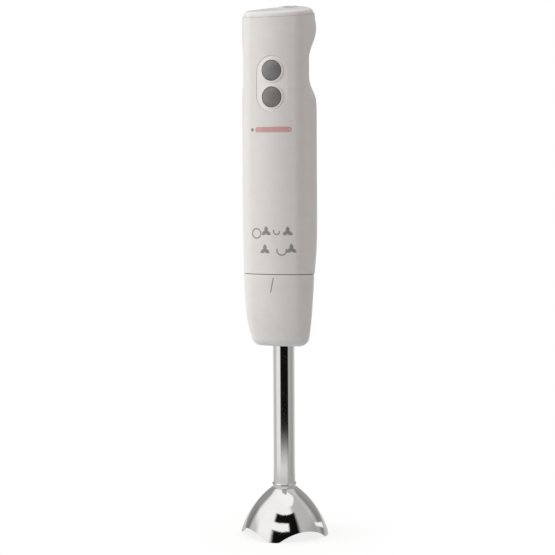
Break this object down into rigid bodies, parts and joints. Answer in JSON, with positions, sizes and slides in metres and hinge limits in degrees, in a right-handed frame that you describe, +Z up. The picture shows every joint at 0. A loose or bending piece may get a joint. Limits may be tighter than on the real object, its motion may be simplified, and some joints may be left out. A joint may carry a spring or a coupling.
{
  "type": "immersion blender",
  "caption": "Hand-held blender: slanted-top motor handle with stacked push buttons and a rear finger recess, on a twist-off steel shaft with a lobed bell over its blade.",
  "frame": {"origin": "on the drive axis at the plane of the bell's rim", "axes": "+Z up the handle along the drive axis, -Y out of the button side, +X to the right seen from the back"},
  "size_m": [0.0646, 0.0646, 0.3874],
  "materials": {
    "white_plastic": "smooth, slightly glossy",
    "panel_plastic": "smooth with bright rims",
    "button_grey": "satin",
    "gland_plastic": "fine matte",
    "inner_plastic": "moulded",
    "dark_plastic": "moulded",
    "polished_steel": "polished",
    "blade_steel": "ground",
    "shaft_steel": "turned",
    "screw_steel": "zinc plated",
    "spring_steel": "drawn wire",
    "can_steel": "zinc plated",
    "core_iron": "stacked sheet",
    "magnet_ferrite": "matte",
    "copper": "lacquered",
    "bronze": "sintered",
    "carbon": "pressed",
    "black_rubber": "matte",
    "board_laminate": "laminate",
    "capacitor_case": "smooth",
    "lead_insulation": "smooth"
  },
  "bodies": {
    "handle": {"front_shell": "white_plastic", "rear_shell": "white_plastic", "top_cap": "white_plastic", "cord_gland": "gland_plastic", "latch_ring": "inner_plastic", "shell_screws": "screw_steel", "button_bezel": "panel_plastic", "circuit_board": "board_laminate", "board_screws": "screw_steel", "suppression_capacitor": "capacitor_case", "speed_diode": "dark_plastic", "motor_leads": "lead_insulation", "motor_can": "can_steel", "motor_magnets": "magnet_ferrite", "motor_end_cap": "dark_plastic", "motor_brushes": "carbon", "brush_springs": "spring_steel", "lower_bearing": "bronze", "upper_bearing": "bronze", "lower_motor_mount": "black_rubber", "upper_motor_mount": "black_rubber", "upper_switch": "dark_plastic", "lower_switch": "dark_plastic", "upper_spring": "spring_steel", "lower_spring": "spring_steel"},
    "upper_button": {"upper_button": "button_grey", "upper_plunger": "dark_plastic"},
    "lower_button": {"lower_button": "button_grey", "lower_plunger": "dark_plastic"},
    "rotor": {"rotor_shaft": "shaft_steel", "rotor_core": "core_iron", "rotor_windings": "copper", "commutator": "copper", "cooling_fan": "dark_plastic", "drive_dog": "dark_plastic"},
    "foot": {"foot_collar": "white_plastic", "foot_core": "inner_plastic", "collar_screws": "screw_steel", "steel_tube": "polished_steel", "bell_guard": "polished_steel", "bearing_housing": "dark_plastic", "lower_bush": "bronze", "upper_bush": "bronze", "shaft_seal": "black_rubber"},
    "drive": {"drive_rod": "shaft_steel", "driven_dog": "dark_plastic", "rod_clip": "spring_steel", "blade": "blade_steel", "blade_spacer": "shaft_steel", "blade_nut": "blade_steel"}
  },
  "joints": [
    {"name": "rotor_spin", "type": "hinge", "parent": "handle", "child": "rotor", "pos_m": [0, 0, 0.24], "axis": [0, 0, 1], "continuous": true},
    {"name": "blade_spin", "type": "hinge", "parent": "handle", "child": "drive", "pos_m": [0, 0, 0.1], "axis": [0, 0, 1], "continuous": true},
    {"name": "foot_twist", "type": "hinge", "parent": "handle", "child": "foot", "pos_m": [0, 0, 0.1927], "axis": [0, 0, 1], "range_deg": [0, 30]},
    {"name": "upper_button_press", "type": "slide", "parent": "handle", "child": "upper_button", "axis": [0, 1, 0], "range_m": [0, 0.0022], "stiffness_N_per_m": 800, "springref_m": -0.0008, "deforming": ["upper_spring"]},
    {"name": "lower_button_press", "type": "slide", "parent": "handle", "child": "lower_button", "axis": [0, 1, 0], "range_m": [0, 0.0022], "stiffness_N_per_m": 800, "springref_m": -0.0008, "deforming": ["lower_spring"]}
  ],
  "couplings": [
    {"joint": "blade_spin", "follows": "rotor_spin", "ratio": 1}
  ]
}
